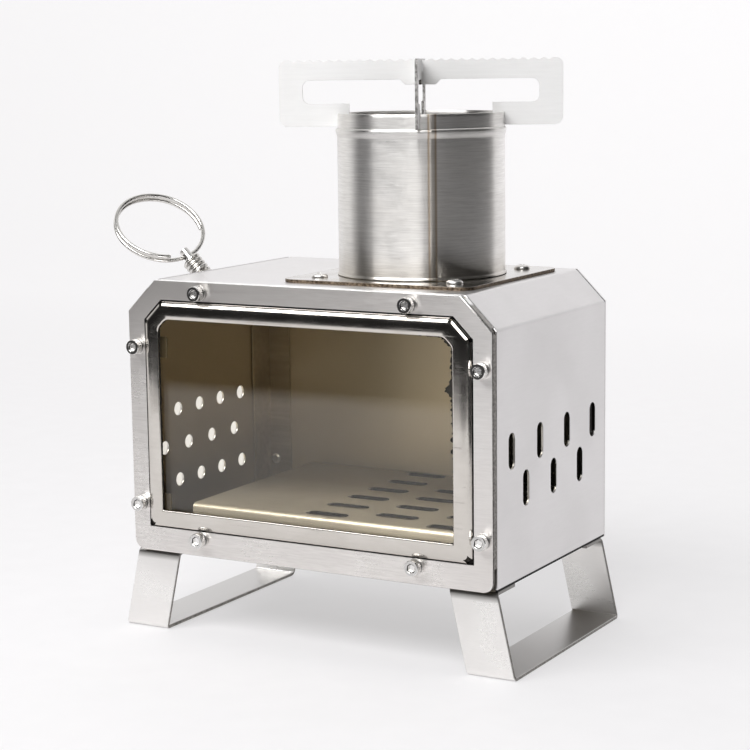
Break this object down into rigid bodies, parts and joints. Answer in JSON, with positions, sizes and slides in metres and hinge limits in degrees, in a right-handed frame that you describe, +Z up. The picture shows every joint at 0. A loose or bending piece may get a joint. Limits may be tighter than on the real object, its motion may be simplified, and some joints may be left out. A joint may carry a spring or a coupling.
{
  "type": "twig stove",
  "caption": "Small sheet-steel wood stove on strap legs, with a glass front, a drop-down perforated fuel door, a lift-off chimney pipe and crossed pot supports.",
  "frame": {"origin": "centre of the firebox in plan, on the floor that the legs stand on", "axes": "+Z up, +X to the right of someone who faces the window, +Y to the back"},
  "size_m": [0.2228, 0.1183, 0.2472],
  "materials": {
    "brushed_front": "brushed along the width",
    "satin_sheet": "satin rolled sheet",
    "polished_steel": "polished",
    "pipe_steel": "bright rolled sheet with a weld seam",
    "flange_steel": "satin with heat-browned cut edges",
    "support_steel": "pale satin",
    "leg_steel": "satin bent strap",
    "sooty_steel": "dull, lightly sooted",
    "fastener_steel": "turned and polished",
    "wire_steel": "bright drawn wire",
    "smoked_glass": "smoky amber ceramic glass",
    "gasket_fibre": "woven mineral fibre"
  },
  "bodies": {
    "stove_body": {"front_plate": "brushed_front", "window_frame": "polished_steel", "glass_gasket": "gasket_fibre", "window_glass": "smoked_glass", "glass_clips": "sooty_steel", "front_screws": "fastener_steel", "flat_washers": "fastener_steel", "lock_washers": "fastener_steel", "front_nuts": "fastener_steel", "front_ring": "sooty_steel", "rear_ring": "sooty_steel", "body_wrap": "satin_sheet", "bottom_panel": "satin_sheet", "back_panel": "satin_sheet", "back_rivets": "fastener_steel", "chimney_flange": "flange_steel", "flange_screws": "fastener_steel", "flange_nuts": "fastener_steel", "chimney_collar": "sooty_steel", "left_leg": "leg_steel", "right_leg": "leg_steel", "leg_rivets": "fastener_steel", "hinge_body_leaf": "leg_steel", "hinge_pin": "fastener_steel"},
    "fuel_door": {"hinge_door_leaf": "leg_steel", "fuel_door": "satin_sheet", "handle_stud": "fastener_steel", "handle_nuts": "fastener_steel", "handle_washer": "fastener_steel", "handle_spring": "wire_steel"},
    "handle_ring": {"handle_ring": "wire_steel"},
    "chimney_pipe": {"chimney_pipe": "pipe_steel"},
    "pot_support_a": {"pot_support_a": "support_steel"},
    "pot_support_b": {"pot_support_b": "support_steel"},
    "grate": {"grate": "sooty_steel"}
  },
  "joints": [
    {"name": "door_hinge", "type": "hinge", "parent": "stove_body", "child": "fuel_door", "pos_m": [-0.0906, 0.0014, 0.0376], "axis": [0, -1, 0], "range_deg": [0, 85]},
    {"name": "ring_swing", "type": "hinge", "parent": "fuel_door", "child": "handle_ring", "pos_m": [-0.09244, -0.0031, 0.15993], "axis": [0.2876, 0.9135, 0.2876], "range_deg": [-60, 80]},
    {"name": "pipe_lift", "type": "slide", "parent": "stove_body", "child": "chimney_pipe", "axis": [0, 0, 1], "range_m": [0, 0.06]},
    {"name": "support_a_lift", "type": "slide", "parent": "chimney_pipe", "child": "pot_support_a", "axis": [0, 0, 1], "range_m": [0, 0.04]},
    {"name": "support_b_lift", "type": "slide", "parent": "pot_support_a", "child": "pot_support_b", "axis": [0, 0, 1], "range_m": [0, 0.03]},
    {"name": "grate_slide", "type": "slide", "parent": "stove_body", "child": "grate", "axis": [-1, 0, 0], "range_m": [0, 0.022]}
  ]
}
